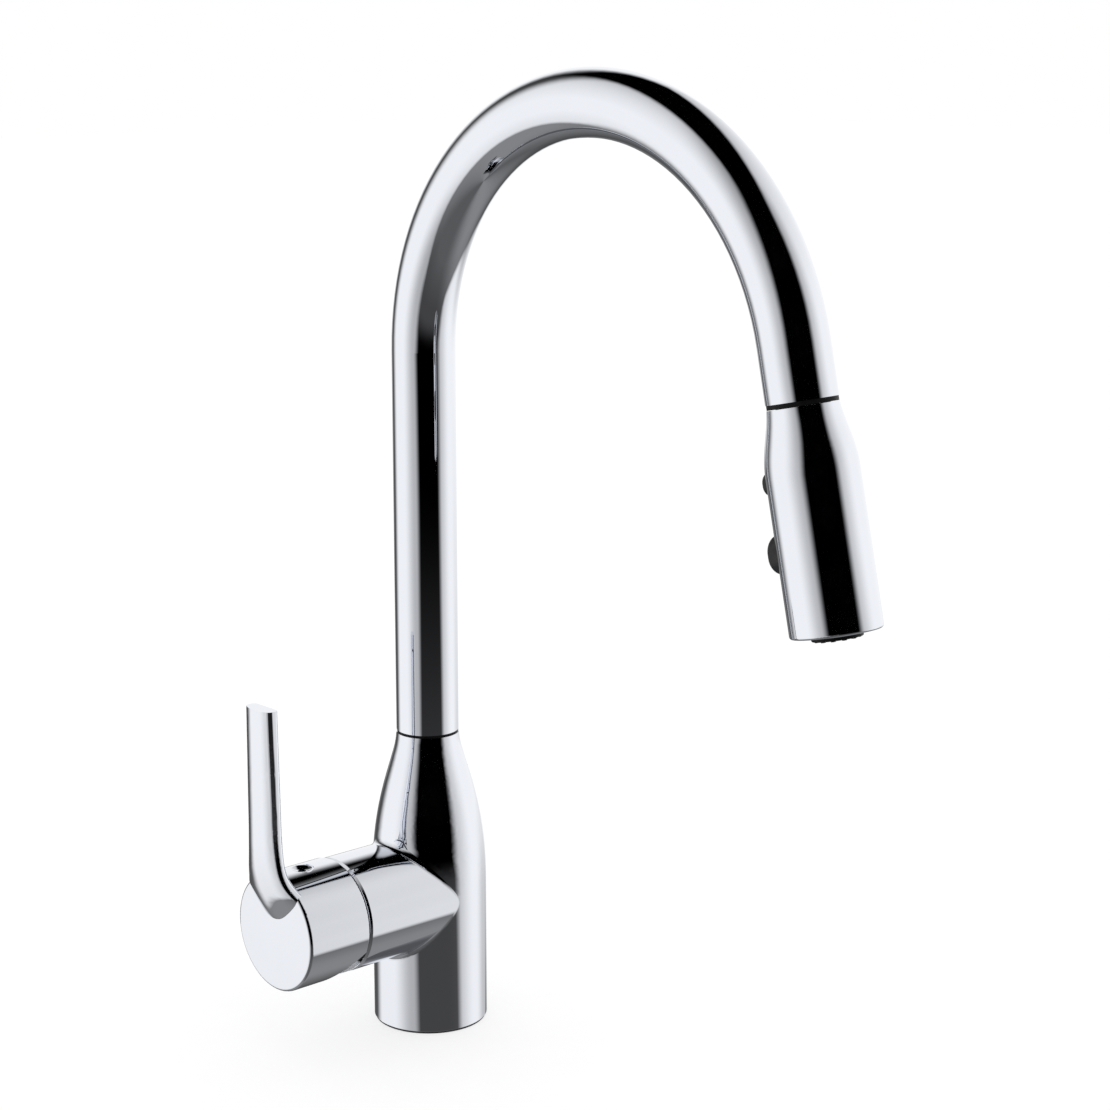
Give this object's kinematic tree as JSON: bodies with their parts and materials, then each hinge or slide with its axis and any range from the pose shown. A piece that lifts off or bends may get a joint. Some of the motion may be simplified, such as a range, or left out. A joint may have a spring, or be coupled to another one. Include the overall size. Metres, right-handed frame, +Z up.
{
  "type": "pull down kitchen faucet",
  "caption": "Single lever kitchen faucet with a swivelling high arch spout and a pull down spray head with two push buttons on a bottle shaped body.",
  "frame": {"origin": "centre of the base on the deck plane, under the body", "axes": "+Z up along the body, the spout reaches towards -Y and the handle points towards -X"},
  "size_m": [0.1172, 0.274, 0.416],
  "materials": {
    "chrome": "polished",
    "brass": "machined",
    "steel": "machined",
    "rubber": "matt",
    "button_black": "soft touch",
    "black_plastic": "satin",
    "inner_plastic": "satin",
    "ceramic": "lapped ceramic",
    "hose_braid": "nylon braid"
  },
  "bodies": {
    "body": {"body_shell": "chrome", "deck_gasket": "rubber", "base_plate": "brass", "core_screws": "steel", "mixer_core": "inner_plastic", "cartridge_cup": "inner_plastic", "cartridge_base": "inner_plastic", "cartridge_seals": "rubber", "fixed_disc": "ceramic", "cartridge_body": "inner_plastic", "retaining_nut": "brass", "neck_bush": "inner_plastic", "slide_ring": "black_plastic"},
    "spout": {"spout_tube": "chrome", "spout_nipple": "brass", "spout_seals": "rubber", "retaining_ring": "steel", "hose_guide": "inner_plastic", "hose": "hose_braid", "hose_plug": "brass", "dock_sleeve": "inner_plastic", "dock_ring": "black_plastic"},
    "hose_end": {"hose_nipple": "brass", "hose_ferrule": "steel"},
    "spray_head": {"head_shell": "chrome", "head_core": "inner_plastic", "hose_nut": "brass", "inlet_washer": "rubber", "check_valve": "inner_plastic", "upper_spring": "steel", "lower_spring": "steel", "face_seal": "rubber", "nozzle_pad": "rubber", "spray_face": "black_plastic", "aerator_cup": "inner_plastic", "aerator_screen": "steel"},
    "upper_button": {"upper_button": "button_black", "pause_plunger": "inner_plastic"},
    "lower_button": {"lower_button": "button_black", "diverter_spool": "inner_plastic"},
    "carrier": {"turning_carrier": "inner_plastic", "pivot_pin": "steel"},
    "handle": {"handle": "chrome", "stem": "brass", "set_screw": "steel", "screw_plug": "chrome"},
    "disc": {"moving_disc": "ceramic", "disc_driver": "inner_plastic"},
    "bonnet": {"bonnet": "chrome"}
  },
  "joints": [
    {"name": "spout_swivel", "type": "hinge", "parent": "body", "child": "spout", "pos_m": [0, 0, 0.13], "axis": [0, 0, 1], "continuous": true},
    {"name": "head_pull", "type": "slide", "parent": "spout", "child": "hose_end", "axis": [0, -0.225, -0.9744], "range_m": [0, 0.2], "stiffness_N_per_m": 6, "springref_m": -1.2, "deforming": ["hose"]},
    {"name": "head_twist", "type": "hinge", "parent": "hose_end", "child": "spray_head", "pos_m": [0, -0.21347, 0.29832], "axis": [0, -0.225, -0.9744], "continuous": true},
    {"name": "upper_button_press", "type": "slide", "parent": "spray_head", "child": "upper_button", "axis": [0, -0.9744, 0.225], "range_m": [0, 0.0012], "stiffness_N_per_m": 500, "springref_m": -0.002, "deforming": ["upper_spring"]},
    {"name": "lower_button_press", "type": "slide", "parent": "spray_head", "child": "lower_button", "axis": [0, -0.9744, 0.225], "range_m": [0, 0.002], "stiffness_N_per_m": 500, "springref_m": -0.002, "deforming": ["lower_spring"]},
    {"name": "handle_turn", "type": "hinge", "parent": "body", "child": "carrier", "pos_m": [-0.053, 0, 0.059], "axis": [-1, 0, 0], "range_deg": [-45, 45]},
    {"name": "handle_tilt", "type": "hinge", "parent": "carrier", "child": "handle", "pos_m": [-0.04, 0, 0.051], "axis": [0, -1, 0], "range_deg": [0, 18]},
    {"name": "disc_slide", "type": "slide", "parent": "carrier", "child": "disc", "axis": [0, 0, 1], "range_m": [0, 0.00315]},
    {"name": "bonnet_turn", "type": "hinge", "parent": "body", "child": "bonnet", "pos_m": [-0.053, 0, 0.059], "axis": [-1, 0, 0], "range_deg": [-45, 45]}
  ],
  "couplings": [
    {"joint": "disc_slide", "follows": "handle_tilt", "m_per_rad": 0.01},
    {"joint": "bonnet_turn", "follows": "handle_turn", "ratio": 1}
  ]
}
